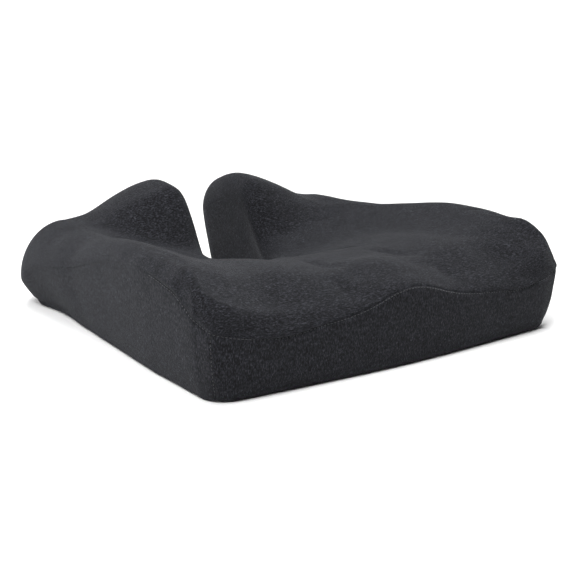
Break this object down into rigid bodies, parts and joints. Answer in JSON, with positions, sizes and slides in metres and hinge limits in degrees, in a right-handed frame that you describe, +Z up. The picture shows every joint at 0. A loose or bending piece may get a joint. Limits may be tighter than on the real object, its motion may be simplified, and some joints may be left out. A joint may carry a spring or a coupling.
{
  "type": "seat cushion",
  "caption": "Contoured seat cushion with a rear tailbone notch, raised side wings and a front ridge, in a zip-off knitted cover over a moulded foam core.",
  "frame": {"origin": "centre of the cushion's box at the height of the surface it rests on", "axes": "+Y from the front edge to the notched rear edge, +Z up, +X to the right as seen from the front"},
  "size_m": [0.4466, 0.4738, 0.1331],
  "materials": {
    "knit": "charcoal heather knit, matt",
    "foam": "open-cell moulded foam, matt",
    "jersey": "thin jersey, matt",
    "base_fabric": "black non-slip fabric with silicone dots",
    "tape": "woven tape, matt",
    "coil": "nylon coil, satin",
    "zip_metal": "dark metal, satin",
    "label": "blank satin label",
    "grip_silicone": "silicone, satin"
  },
  "bodies": {
    "cushion": {"foam_core": "foam", "liner_top": "jersey", "liner_base": "jersey", "top_panel": "knit", "front_band": "knit", "notch_band": "knit", "left_side_band": "knit", "right_side_band": "knit", "base_panel_front": "base_fabric", "base_panel_rear": "base_fabric", "zip_tape_front": "tape", "zip_tape_rear": "tape", "zip_coil_front": "coil", "zip_coil_rear": "coil", "zip_top_stop_front": "zip_metal", "zip_top_stop_rear": "zip_metal", "zip_bottom_stop": "zip_metal", "zip_end_tab_left": "tape", "zip_end_tab_right": "tape", "care_label": "label"},
    "zip_slider": {"zip_slider": "zip_metal"},
    "zip_pull": {"zip_pull": "zip_metal"}
  },
  "joints": [
    {"name": "zip_slide", "type": "slide", "parent": "cushion", "child": "zip_slider", "axis": [-1, 0, 0], "range_m": [0, 0.276]},
    {"name": "pull_swing", "type": "hinge", "parent": "zip_slider", "child": "zip_pull", "pos_m": [0.138, -0.0402, 0.0022], "axis": [0, -1, 0], "range_deg": [0, 180]}
  ]
}
